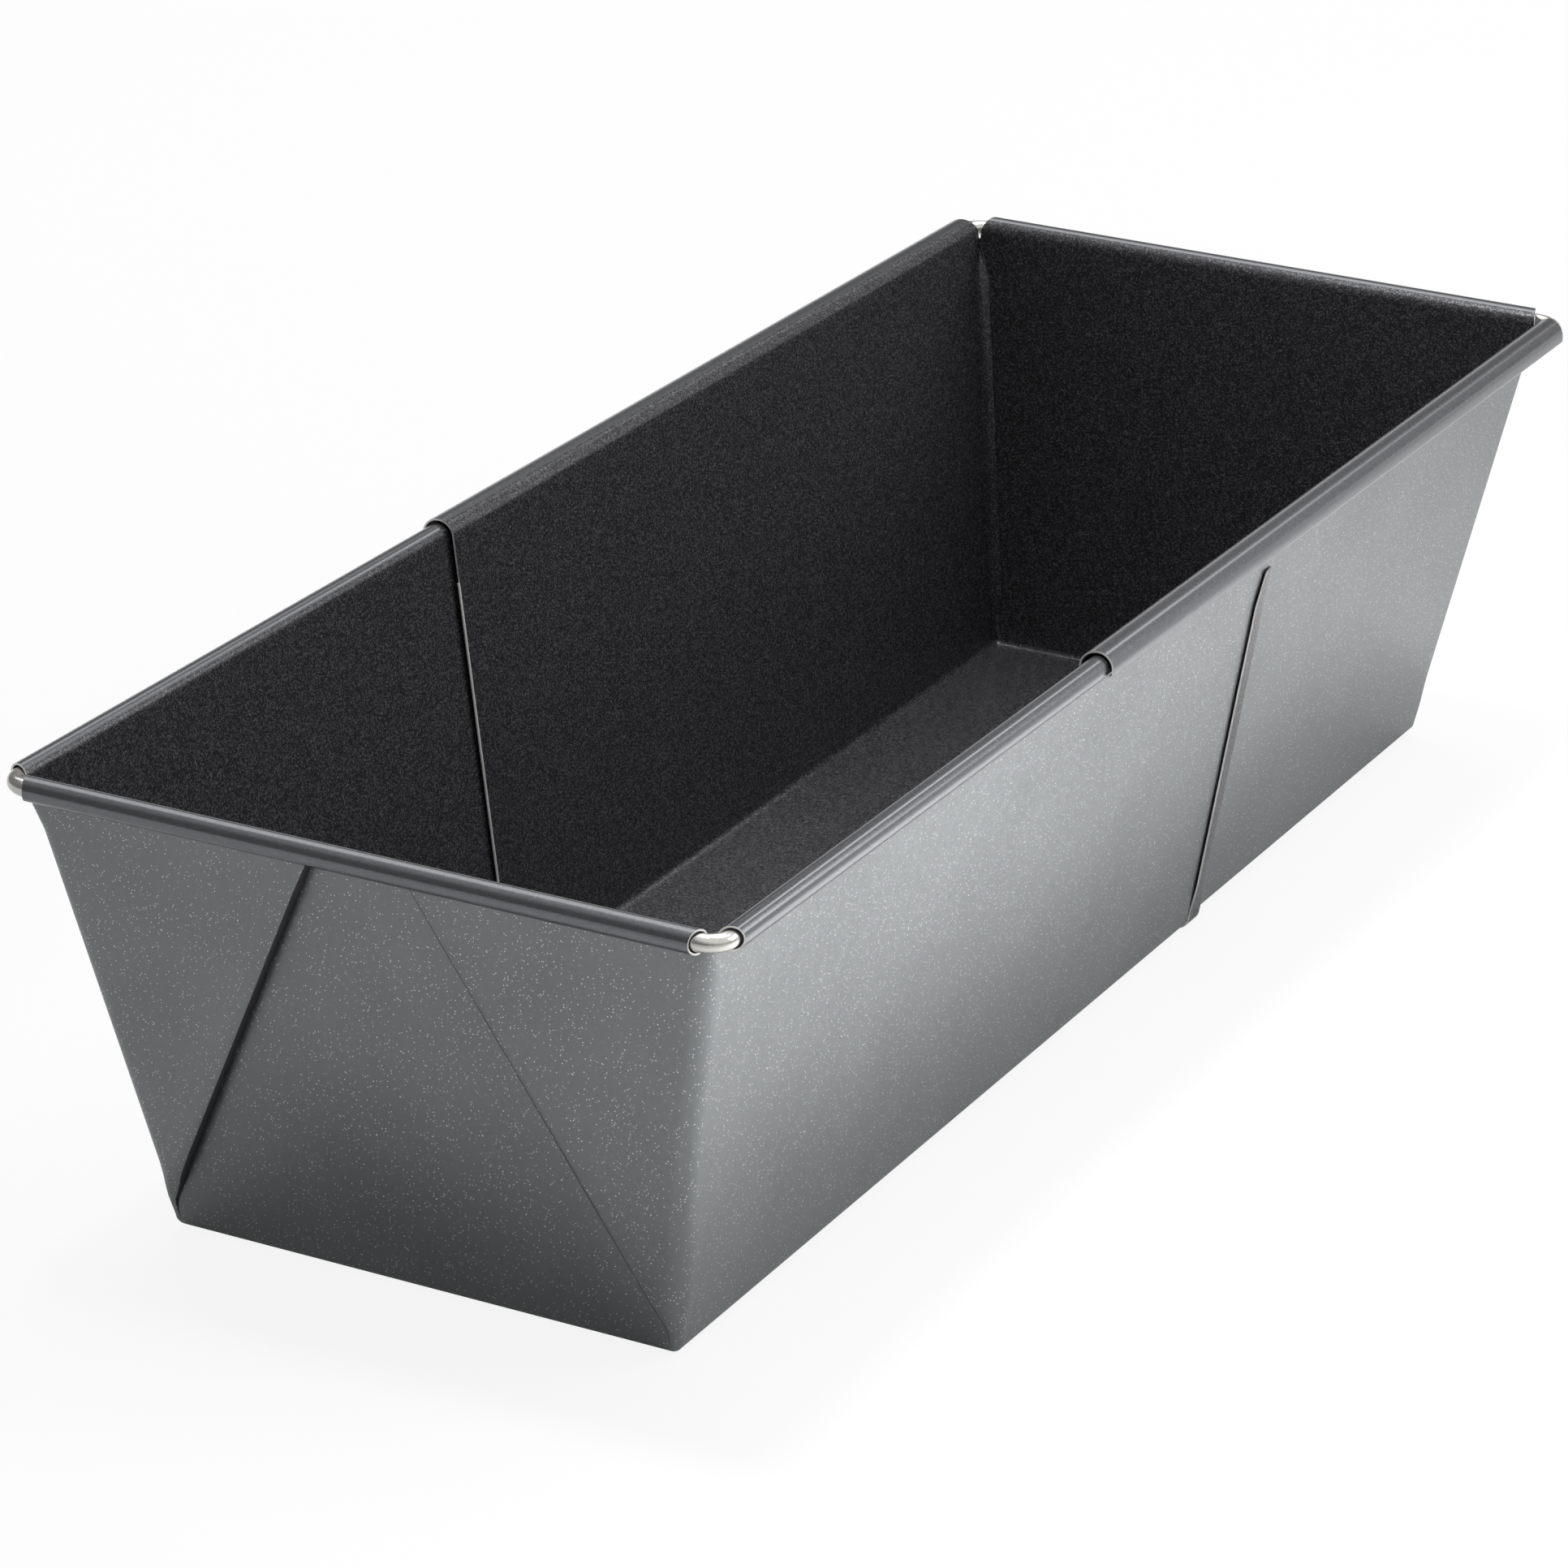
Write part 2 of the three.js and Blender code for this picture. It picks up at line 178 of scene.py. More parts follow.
class FoldedHalf:
    """The middle surface of a half in its own frame: the outside of its end bead is at y = 0, its
    open edge is at +y, and x is across it. Rows of points lie at one height or along the bead."""

    def __init__(self, length, edge_slant, fold_mid, corner_at_rim, bead_wall, bead_top,
                 bead_outside, hooked, notch, hem_spring, hem_nose, flap_springs):
        # The open edge is at length on the table, and slants back by edge_slant up to the rim.
        self.length = length
        self.edge_slant = edge_slant
        # Radii of the fold round the floor and of the corner just under the bead.
        self.fold_mid = fold_mid
        self.corner_at_rim = corner_at_rim
        # Radii of the bead where it leaves the wall, over its crown and beyond it. It ends in a
        # hook or closes round the wire, and is cut back by notch at the corners.
        self.bead_wall = bead_wall
        self.bead_top = bead_top
        self.bead_outside = bead_outside
        self.hooked = hooked
        self.notch = notch
        # How far the hem and the left and right flaps have sprung open, and the finish on half
        # of the hem's fold nose, a painted highlight along the fold where it is the cut finish.
        self.hem_spring = hem_spring
        self.hem_nose = hem_nose
        self.flap_springs = flap_springs

        self.roll_y = bead_outside + HALF_SHEET
        self.fold_y = END_LEAN_OUT + fold_mid + HALF_SHEET
        self.side_lean = self.wall_lean(ROLL_X - FOLD_X)
        self.end_lean = self.wall_lean(self.fold_y - self.roll_y)
        low_lean = min(self.side_lean, self.end_lean)
        turns = turning(0, math.pi / 2 - low_lean, FOLD_STEPS)
        self.fold_levels = [FOLD_Z - fold_mid * math.cos(turn) for turn in turns]
        self.wall_levels = [self.fold_levels[-1]] + [FOLD_Z + h * MM for h in WALL_HEIGHTS]
        self.base = self.wall_levels[0]
        self.top = self.wall_levels[-1]
        corner = self.corner(self.top)
        cut_back = self.notch_run(-bead_wall)
        slit = self.slit_x(self.top)
        self.side_gap = self.roll_y + cut_back - (corner["y"] + corner["radius"])
        self.end_reach = min(ROLL_X - cut_back, slit - SLIT_CLEARANCE)
        self.end_gap = slit - self.end_reach

    def wall_lean(self, run):
        """Lean of a wall that is flat from the fold to the bead, whose middles are a run apart."""
        rise = ROLL_Z - FOLD_Z
        radii = self.fold_mid + self.bead_wall
        return math.atan2(run, rise) - math.asin(radii / math.hypot(run, rise))

    def flare(self, lean, z):
        """How far out a wall is from the middle of its fold at a height."""
        rise = z - FOLD_Z
        tangent = -self.fold_mid * math.sin(lean)
        if rise < tangent:
            return math.sqrt(max(0.0, self.fold_mid ** 2 - rise ** 2))
        return self.fold_mid * math.cos(lean) + (rise - tangent) * math.tan(lean)

    def side_x(self, z):
        return FOLD_X + self.flare(self.side_lean, z)

    def end_y(self, z):
        return self.fold_y - self.flare(self.end_lean, z)

    def open_y(self, z):
        return self.length - self.edge_slant * z / RIM_HEIGHT

    def notch_run(self, across):
        """How far from the end bead's middle a side bead starts, at a place across it."""
        return self.bead_wall + self.notch + BEAD_END_SLOPE * (across + self.bead_wall)

    def corner(self, z):
        """Plan of a corner at a height: the outer layer stands off the end wall by its lift."""
        opened = ease(z, self.base, self.base + CORNER_OPEN_RISE)
        grown = ease(z, FOLD_Z, FOLD_Z + CORNER_ROUND_RISE)
        tightened = ease(z, ROLL_Z - CORNER_TIGHTEN_DROP, ROLL_Z - CORNER_TIGHT_DROP)
        radius = CORNER_AT_FLOOR + (CORNER_RADIUS - CORNER_AT_FLOOR) * grown
        radius += (self.corner_at_rim - radius) * tightened
        lift = FLAP_LIFT * opened
        return {"x": self.side_x(z), "y": self.end_y(z) - lift, "radius": radius, "lift": lift,
                "opened": opened}

    def slit_x(self, z):
        """Where the end wall turns outwards, just inside the round corner of the side wall."""
        corner = self.corner(z)
        radius = corner["radius"]
        turn = CORNER_TURN * corner["opened"]
        inside = radius - HALF_SHEET * corner["opened"]
        depth = radius - corner["lift"] + turn
        return corner["x"] - radius + math.sqrt(max(0.0, inside ** 2 - depth ** 2)) - turn

    def wall_and_corner(self, z, y, radius):
        """Side wall from the open edge, and the round corner that brings it round to y."""
        x = self.side_x(z)
        wall = spaced(self.open_y(z), y + radius + self.side_gap, SIDE_SHARES)
        return ([(x, wall_y) for wall_y in wall]
                + arc(x - radius, y + radius, radius, 0, -math.pi / 2, CORNER_STEPS))

    def flap(self, z, spring):
        """Flap at a height: its outer layer from the corner, its fold, and its inner layer."""
        corner = self.corner(z)
        opened = corner["opened"]
        root = corner["x"] - corner["radius"]
        slope = math.tan(FLAP_LEAN) / math.cos(self.end_lean) + math.tan(self.side_lean)
        free = min(corner["x"] + HALF_SHEET - (z - FOLD_Z) * slope, root - HALF_SHEET * opened)
        sprung = spring * opened * ease(root - free, 0, SPRING_FULL_WIDTH)
        sprung *= 1 - RIM_HOLD_SHARE * ease(z, ROLL_Z - RIM_HOLD_DROP, ROLL_Z - FLAP_TOP_DROP)

        def layer_y(x):
            return corner["y"] - sprung * ease(free - x, -SPRING_RUN, 0)

        nose = FOLD_NOSE * opened + NOSE_SPRING * sprung
        returned = min(FLAP_RETURN * opened, FLAP_RETURN_SHARE * (root - free))
        outer = [(x, layer_y(x)) for x in spaced(root, free, FLAP_SHARES)]
        fold = arc(free, corner["y"] - sprung + nose, nose, -math.pi / 2, -1.5 * math.pi,
                   NOSE_STEPS)
        inner_x = [free + share * returned for share in RETURN_SHARES]
        inner = [(x, layer_y(x) + 2 * nose) for x in inner_x]
        return outer + fold[1:] + inner

    def side_row(self, z, spring):
        """Side wall, round corner and flap, which ends a little below the bead."""
        corner = self.corner(z)
        wall = self.wall_and_corner(z, corner["y"], corner["radius"])
        flap_z = min(z, ROLL_Z - FLAP_TOP_DROP)
        flap = self.flap(flap_z, spring)
        return [(x, y, z) for x, y in wall] + [(x, y, flap_z) for x, y in flap]

    def end_row(self, z):
        """End wall between its two inner corners, where it turns outwards into the flaps."""
        opened = self.corner(z)["opened"]
        slit = self.slit_x(z)
        body = slit - self.end_gap * opened
        nose = FOLD_NOSE * opened
        right = [(body + self.end_gap * opened / 2, self.end_y(z))]
        right += arc(slit - nose, self.end_y(z) - nose, nose, math.pi / 2, 0, SLIT_STEPS)
        left = [(-x, y) for x, y in reversed(right)]
        middle = [(share * body, self.end_y(z)) for share in END_SHARES]
        return [(x, y, z) for x, y in left + middle + right]

    def ring_row(self, z):
        """The fold round the floor, at a height where it is all one piece."""
        grown = (z - self.fold_levels[0]) / (self.base - self.fold_levels[0])
        radius = CORNER_AT_FLOOR * (CORNER_START_SHARE + (1 - CORNER_START_SHARE) * grown)
        right = self.wall_and_corner(z, self.end_y(z), radius)
        reach = self.side_x(z) - radius
        middle = [(-share * reach, self.end_y(z)) for share in END_SHARES[1:-1]]
        left = [(-x, y) for x, y in reversed(right)]
        return [(x, y, z) for x, y in right + middle + left]

    def bead_line(self, lean):
        """Middle line of the bead, across and up from the wire, from the wall round to its end."""
        leaning = self.bead_top * math.sin(lean)
        wide = math.sqrt(self.bead_wall ** 2 - leaning ** 2) / math.cos(lean)
        start = math.pi - math.atan(self.bead_top / wide * math.tan(lean))
        stop = 0.0 if self.hooked else ROLL_STOP
        line = []
        for angle in turning(start, stop, BEAD_STEPS):
            across = wide if angle > math.pi / 2 else self.bead_outside
            line.append((across * math.cos(angle), self.bead_top * math.sin(angle)))
        if self.hooked:
            line += arc(self.bead_outside - LIP_RADIUS, -HOOK_DROP, LIP_RADIUS, 0, -LIP_TURN,
                        LIP_STEPS)
        return line

    def side_bead_rows(self):
        rows = []
        for across, up in self.bead_line(self.side_lean):
            x, z = ROLL_X + across, ROLL_Z + up
            along = spaced(self.open_y(z), self.roll_y + self.notch_run(across), SIDE_SHARES)
            rows.append([(x, y, z) for y in along])
        return rows

    def end_bead_rows(self):
        rows = []
        for across, up in self.bead_line(self.end_lean):
            y, z = self.roll_y - across, ROLL_Z + up
            reach = self.end_reach - BEAD_END_SLOPE * (across + self.bead_wall)
            rows.append([(share * reach, y, z) for share in END_SHARES])
        return rows

    def hem_row(self, z):
        """The hem at a height, from the sheet round its fold to its own cut edge."""
        trimmed = min(1.0, max(0.0, (z - (ROLL_Z - HEM_TOP_DROP - HEM_TRIM)) / HEM_TRIM))
        width = HEM_WIDTH - (HEM_WIDTH - HEM_TOP_WIDTH) * trimmed
        sprung = self.hem_spring * ease(z, FOLD_Z, FOLD_Z + HEM_SPRING_RISE)
        lean = self.side_lean
        if z < self.base:
            lean = math.asin(min(1.0, (FOLD_Z - z) / self.fold_mid))
        outwards = (math.cos(lean), -math.sin(lean))
        path = arc(0, HALF_SHEET, HALF_SHEET, -math.pi / 2, math.pi / 2, NOSE_STEPS)
        path += [(-width * share, SHEET + sprung * share ** HEM_CURL) for share in HEM_SHARES]
        return [(self.side_x(z) + outwards[0] * out, self.open_y(z) + along, z + outwards[1] * out)
                for along, out in path]


def mirrored(rows):
    return [[(-x, y, z) for x, y, z in row] for row in rows]


def sheet_strips(half):
    """The strips of a half: rows of points, which columns have a finish of their own on the
    inner side, and that finish. The first row of the first strip goes round the floor."""
    left_wall, side_wall = ([half.side_row(z, spring) for z in half.wall_levels]
                            for spring in half.flap_springs)
    end_wall = [half.end_row(z) for z in half.wall_levels]
    ring = [half.ring_row(z) for z in half.fold_levels]
    strips = [(ring, (), INSIDE), (end_wall, (), INSIDE)]

    turned_ends = (len(end_wall[-1]) - len(END_SHARES)) // 2
    side_bead = [side_wall[-1][:len(SIDE_SHARES)]] + half.side_bead_rows()
    end_bead = [end_wall[-1][turned_ends:-turned_ends]] + half.end_bead_rows()
    bead_line = half.bead_line(half.side_lean)
    before_crown = sum(across < -BURNISHED_BEFORE_CROWN for across, up in bead_line)
    for rows in (side_bead, mirrored(side_bead), end_bead):
        strips.append((rows[:before_crown + 1], (), INSIDE))
        strips.append((rows[before_crown:], range(len(rows[0])), BURNISHED))

    # The flaps' fold noses get painted shade: a nearly black finish in place of the shadow under
    # each free fold.
    nose_start = len(SIDE_SHARES) + CORNER_STEPS + len(FLAP_SHARES)
    flap_nose = range(nose_start, nose_start + NOSE_STEPS)
    strips += [(rows, flap_nose, FLAP_FOLD_SHADE) for rows in (side_wall, mirrored(left_wall))]

    hem_top = ROLL_Z - HEM_TOP_DROP + WELD
    hem_levels = half.fold_levels + [z for z in half.wall_levels[1:] if z < hem_top]
    hem = [half.hem_row(z) for z in hem_levels]
    strips.append((mirrored(hem[::-1]) + hem, range(NOSE_STEPS // 2), half.hem_nose))
    return strips


def welded(strips):
    """The middle surface: strips and floor joined along their edges, with inward normals."""
    work = bmesh.new()
    for rows, marked, finish in strips:
        grid = [[work.verts.new(point) for point in row] for row in rows]
        for lower, upper in zip(grid, grid[1:]):
            for i in range(len(lower) - 1):
                face = work.faces.new((lower[i], lower[i + 1], upper[i + 1], upper[i]))
                face.material_index = finish if i in marked else INSIDE
    floor_edge = strips[0][0][0]
    work.faces.new([work.verts.new(point) for point in floor_edge])
    bmesh.ops.remove_doubles(work, verts=work.verts, dist=WELD)
    bmesh.ops.recalc_face_normals(work, faces=work.faces)
    floor_face = max(work.faces, key=lambda face: face.calc_area())
    if floor_face.normal.z < 0:
        bmesh.ops.reverse_faces(work, faces=work.faces)
    work.normal_update()
    return work


def thicken(work):
    """Puts the inner side, the outer side and the cut edges in place of the middle surface."""
    middle = list(work.verts)
    inner = {v: work.verts.new(v.co + v.normal * HALF_SHEET) for v in middle}
    outer = {v: work.verts.new(v.co - v.normal * HALF_SHEET) for v in middle}
    for face in list(work.faces):
        inner_face = work.faces.new([inner[v] for v in face.verts])
        inner_face.material_index = face.material_index
        outer_face = work.faces.new([outer[v] for v in reversed(face.verts)])
        outer_face.material_index = OTHER_SIDE[face.material_index]
        for loop in face.loops:
            if loop.edge.is_boundary:
                a, b = loop.vert, loop.link_loop_next.vert
                cut_face = work.faces.new((inner[b], inner[a], outer[a], outer[b]))
                cut_face.material_index = CUT_EDGE_AND_FOLD_HIGHLIGHT
    bmesh.ops.delete(work, geom=middle, context="VERTS")


def folded_sheet(name, half, placing, finishes):
    work = welded(sheet_strips(half))
    thicken(work)
    bmesh.ops.transform(work, matrix=placing, verts=work.verts)
    for face in work.faces:
        face.smooth = True
    mesh = bpy.data.meshes.new(name)
    work.to_mesh(mesh)
    work.free()
    mesh.set_sharp_from_angle(angle=SHARP_ABOVE)
    for finish in finishes:
        mesh.materials.append(finish)
    piece = bpy.data.objects.new(name, mesh)
    bpy.context.scene.collection.objects.link(piece)
    return piece


def linear(hex_colour):
    """An sRGB hex value as linear red, green, blue and alpha, by the sRGB standard's curve."""
    parts = [int(hex_colour[i:i + 2], 16) / 255 for i in (1, 3, 5)]
    return [p / 12.92 if p <= 0.04045 else ((p + 0.055) / 1.055) ** 2.4 for p in parts] + [1]


def add_node(tree, kind, values=(), links=(), **settings):
    """Adds a node; values and links give its inputs by name or number."""
    node = tree.nodes.new(kind)
    for name, setting in settings.items():
        setattr(node, name, setting)
    for key, value in dict(values).items():
        node.inputs[key].default_value = value
    for key, output in dict(links).items():
        tree.links.new(output, node.inputs[key])
    return node


def start_finish(name):
    """A new material: itself, its node tree, its shader, and the place on the piece in metres."""
    finish = bpy.data.materials.new(name)
    finish.use_nodes = True
    shader = finish.node_tree.nodes["Principled BSDF"]
    place = add_node(finish.node_tree, "ShaderNodeTexCoord").outputs["Object"]
    return finish, finish.node_tree, shader, place


# A Mix node has its sockets by number: the share of B, and A, B and the result for colours.
SHARE_OF_B, COLOUR_A, COLOUR_B, MIXED = 0, 6, 7, 2

# Metallic enamel: a sprayed and baked grey coat full of aluminium flakes. It shines softly like a
# metal, clouds slightly over 25 mm and has a fine peel of 0.9 mm. Flakes that lie askew glint
# where the rest is dark. Real ones are under 0.1 mm; they are drawn about 0.2 mm across and
# 0.4 mm apart, to show, in a grid that is turned out of line with the walls.
ENAMEL_DARK = "#737677"
ENAMEL_LIGHT = "#858889"
FLAKE_GLINT = "#f4f7f7"
FLAKE_SPACING = 0.42 * MM
GRID_TURN = (0.61, 0.43, 0.97)
grey_enamel, tree, shader, place = start_finish("grey_metallic_enamel")
turned = add_node(tree, "ShaderNodeMapping", {"Rotation": GRID_TURN}, {"Vector": place})
flakes = add_node(tree, "ShaderNodeTexVoronoi", {"Scale": 1 / FLAKE_SPACING},
                  {"Vector": turned.outputs["Vector"]})
flake_tone = add_node(tree, "ShaderNodeSeparateColor", links={"Color": flakes.outputs["Color"]})
dot = add_node(tree, "ShaderNodeMapRange",
               {"From Min": 0.13, "From Max": 0.24, "To Min": 1.0, "To Max": 0.0},
               {"Value": flakes.outputs["Distance"]})
chosen = add_node(tree, "ShaderNodeMapRange",
                  {"From Min": 0.5, "From Max": 0.72, "To Min": 0.0, "To Max": 1.0},
                  {"Value": flake_tone.outputs["Red"]})
glint = add_node(tree, "ShaderNodeMath", {},
                 {0: dot.outputs["Result"], 1: chosen.outputs["Result"]}, operation="MULTIPLY")
askew = add_node(tree, "ShaderNodeMapRange", {"To Min": 0.05, "To Max": 0.4},
                 {"Value": glint.outputs[0]})
random_way = add_node(tree, "ShaderNodeVectorMath", {1: (0.5, 0.5, 0.5)},
                      {0: flakes.outputs["Color"]}, operation="SUBTRACT")
tilt = add_node(tree, "ShaderNodeVectorMath", {},
                {0: random_way.outputs[0], "Scale": askew.outputs["Result"]}, operation="SCALE")
surface = add_node(tree, "ShaderNodeNewGeometry")
tilted = add_node(tree, "ShaderNodeVectorMath", {},
                  {0: surface.outputs["Normal"], 1: tilt.outputs[0]})
flake_facing = add_node(tree, "ShaderNodeVectorMath", {}, {0: tilted.outputs[0]},
                        operation="NORMALIZE")
cloud = add_node(tree, "ShaderNodeTexNoise", {"Scale": 1 / (25 * MM), "Detail": 4},
                 {"Vector": place})
coat_tone = add_node(tree, "ShaderNodeMix",
                     {COLOUR_A: linear(ENAMEL_DARK), COLOUR_B: linear(ENAMEL_LIGHT)},
                     {SHARE_OF_B: cloud.outputs["Fac"]}, data_type="RGBA")
coat_colour = add_node(tree, "ShaderNodeMix", {COLOUR_B: linear(FLAKE_GLINT)},
                       {SHARE_OF_B: glint.outputs[0], COLOUR_A: coat_tone.outputs[MIXED]},
                       data_type="RGBA")
roughness = add_node(tree, "ShaderNodeMapRange", {"To Min": 0.36, "To Max": 0.46},
                     {"Value": flake_tone.outputs["Green"]})
peel = add_node(tree, "ShaderNodeTexNoise", {"Scale": 1 / (0.9 * MM), "Detail": 3},
                {"Vector": place})
bump = add_node(tree, "ShaderNodeBump", {"Strength": 0.12, "Distance": 0.05 * MM},
                {"Height": peel.outputs["Fac"], "Normal": flake_facing.outputs[0]})
tree.links.new(coat_colour.outputs[MIXED], shader.inputs["Base Color"])
tree.links.new(roughness.outputs["Result"], shader.inputs["Roughness"])
tree.links.new(bump.outputs["Normal"], shader.inputs["Normal"])
shader.inputs["Metallic"].default_value = 0.92

# Non-stick coating: a dark fluoropolymer sprayed and baked on the inside. It is satin, with a
# fine leathery grain of 0.3 mm and lighter specks 0.2 mm apart.
COATING_DARK = "#2b2b2d"
COATING_SPECK = "#68686c"
nonstick, tree, shader, place = start_finish("charcoal_nonstick_coating")
grain = add_node(tree, "ShaderNodeTexNoise",
                 {"Scale": 1 / (0.3 * MM), "Detail": 2, "Roughness": 0.6}, {"Vector": place})
speckle = add_node(tree, "ShaderNodeTexVoronoi", {"Scale": 1 / (0.2 * MM)}, {"Vector": place})
speck_tone = add_node(tree, "ShaderNodeSeparateColor", links={"Color": speckle.outputs["Color"]})
speck = add_node(tree, "ShaderNodeMapRange",
                 {"From Min": 0.55, "From Max": 1.0, "To Min": 0.0, "To Max": 1.0},
                 {"Value": speck_tone.outputs["Red"]})
tone = add_node(tree, "ShaderNodeMix",
                {COLOUR_A: linear(COATING_DARK), COLOUR_B: linear(COATING_SPECK)},
                {SHARE_OF_B: speck.outputs["Result"]}, data_type="RGBA")
satin = add_node(tree, "ShaderNodeMapRange", {"To Min": 0.25, "To Max": 0.3},
                 {"Value": speck_tone.outputs["Green"]})
bump = add_node(tree, "ShaderNodeBump", {"Strength": 0.05, "Distance": 0.04 * MM},
                {"Height": grain.outputs["Fac"]})
tree.links.new(tone.outputs[MIXED], shader.inputs["Base Color"])
tree.links.new(satin.outputs["Result"], shader.inputs["Roughness"])
tree.links.new(bump.outputs["Normal"], shader.inputs["Normal"])
shader.inputs["Metallic"].default_value = 0.3
shader.inputs["Specular IOR Level"].default_value = 0.3

# Sheared steel: the bare edge that the press left where it cut the coated sheet. It is bright,
# with fine marks 0.4 mm apart along the 0.3 mm of the cut. On half of the rear hem's fold nose the
# same bright finish is a painted highlight along the fold.
EDGE_AND_HIGHLIGHT_DARK = "#d6d6d4"
EDGE_AND_HIGHLIGHT_LIGHT = "#f6f5f2"
cut_steel_and_fold_highlight, tree, shader, place = start_finish("bare_sheared_steel_edge_and_painted_fold_highlight")
marks = add_node(tree, "ShaderNodeTexNoise", {"Scale": 1 / (0.4 * MM), "Detail": 3},
                 {"Vector": place})
tone = add_node(tree, "ShaderNodeMix",
                {COLOUR_A: linear(EDGE_AND_HIGHLIGHT_DARK), COLOUR_B: linear(EDGE_AND_HIGHLIGHT_LIGHT)},
                {SHARE_OF_B: marks.outputs["Fac"]}, data_type="RGBA")
matt = add_node(tree, "ShaderNodeMapRange", {"To Min": 0.28, "To Max": 0.5},
                {"Value": marks.outputs["Fac"]})
tree.links.new(tone.outputs[MIXED], shader.inputs["Base Color"])
tree.links.new(matt.outputs["Result"], shader.inputs["Roughness"])
shader.inputs["Metallic"].default_value = 0.3

# Painted shade on the tight folds of the flaps: a dull, nearly black finish that stands in for the
# shadow in the gap under each flap's free fold, with a fine cell pattern about 0.3 mm apart.
FOLD_SHADE_DARK = "#1c1d1e"
FOLD_SHADE_LIGHT = "#35373a"
painted_fold_shade, tree, shader, place = start_finish("painted_shade_on_flap_fold")
shade_cells = add_node(tree, "ShaderNodeTexVoronoi", {"Scale": 1 / (0.3 * MM)}, {"Vector": place},
                   feature="DISTANCE_TO_EDGE")
tone = add_node(tree, "ShaderNodeMix",
                {COLOUR_A: linear(FOLD_SHADE_DARK), COLOUR_B: linear(FOLD_SHADE_LIGHT)},
                {SHARE_OF_B: shade_cells.outputs["Distance"]}, data_type="RGBA")
dull = add_node(tree, "ShaderNodeMapRange", {"To Min": 0.5, "To Max": 0.65},
                {"Value": shade_cells.outputs["Distance"]})
tree.links.new(tone.outputs[MIXED], shader.inputs["Base Color"])
tree.links.new(dull.outputs["Result"], shader.inputs["Roughness"])
shader.inputs["Metallic"].default_value = 0.3

# Burnished coating: the rollers that turned the rim over pressed the inside coat smooth, from
# just before the crown of the bead to its end. It has a metallic shine and faint rubbed marks,
# 0.6 mm apart.
BURNISHED_DARK = "#66676a"
BURNISHED_LIGHT = "#7c7d80"
burnished, tree, shader, place = start_finish("burnished_coating_on_bead")
rubbed = add_node(tree, "ShaderNodeTexNoise", {"Scale": 1 / (0.6 * MM), "Detail": 4},
                  {"Vector": place})
tone = add_node(tree, "ShaderNodeMix",
                {COLOUR_A: linear(BURNISHED_DARK), COLOUR_B: linear(BURNISHED_LIGHT)},
                {SHARE_OF_B: rubbed.outputs["Fac"]}, data_type="RGBA")
shine = add_node(tree, "ShaderNodeMapRange", {"To Min": 0.16, "To Max": 0.24},
                 {"Value": rubbed.outputs["Fac"]})
tree.links.new(tone.outputs[MIXED], shader.inputs["Base Color"])
tree.links.new(shine.outputs["Result"], shader.inputs["Roughness"])
shader.inputs["Metallic"].default_value = 0.85

sheet_finishes = [nonstick, grey_enamel, cut_steel_and_fold_highlight, painted_fold_shade, burnished]
front = FoldedHalf(
    length=202 * MM,
    edge_slant=6.2 * MM,
    fold_mid=FLOOR_FOLD + HALF_SHEET,
    corner_at_rim=1.2 * MM,
    bead_wall=ROLL_OUTER - HALF_SHEET,
    bead_top=ROLL_OUTER - HALF_SHEET,
    bead_outside=ROLL_OUTER - HALF_SHEET,
    hooked=False,
    notch=1.0 * MM,
    hem_spring=0.38 * MM,
    hem_nose=INSIDE,
    flap_springs=(1.7 * MM, 0.15 * MM),
)
front_place = Matrix.Translation((0, front_low.y, 0))
front_sheet = folded_sheet("front_folded_sheet", front, front_place, sheet_finishes)
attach(front_sheet, "front_body")
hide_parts("front_half")

# Front rim wire
# A U of drawn steel wire, a little under 3 mm thick, that the front half's rim is rolled round.
# Its two bends stand bare where the bead is cut away at the corners. It lies loose in the roll.
WIRE_RADIUS = 1.38 * MM
WIRE_SAG = 0.1 * MM
WIRE_ROUNDING = 8
WIRE_BEND_STEPS = 24
FRONT_WIRE_BEND = 3.4 * MM
FRONT_WIRE_SETBACK = 5 * MM


def bent_wire(name, half_width, end_y, z, bend, leg_end, placing, finish):
    """A U of round wire in the roll whose middle is at half_width, end_y and z, with legs to +y."""
    leg_x = half_width - WIRE_SAG
    cross_y = end_y + WIRE_SAG
    wire_z = z - WIRE_SAG / 2
    points = [(leg_x, leg_end)]
    points += arc(leg_x - bend, cross_y + bend, bend, 0, -math.pi / 2, WIRE_BEND_STEPS)
    points += [(-x, y) for x, y in reversed(points)]
    line = bpy.data.curves.new(name, "CURVE")
    line.dimensions = "3D"
    line.bevel_depth = WIRE_RADIUS
    line.bevel_resolution = WIRE_ROUNDING
    line.use_fill_caps = True
    spline = line.splines.new("POLY")
    spline.points.add(len(points) - 1)
    for point, (x, y) in zip(spline.points, points):
        point.co = (*(placing @ Vector((x, y, wire_z))), 1)
    spline.use_smooth = True
    line.materials.append(finish)
    wire = bpy.data.objects.new(name, line)
    bpy.context.scene.collection.objects.link(wire)
    return wire


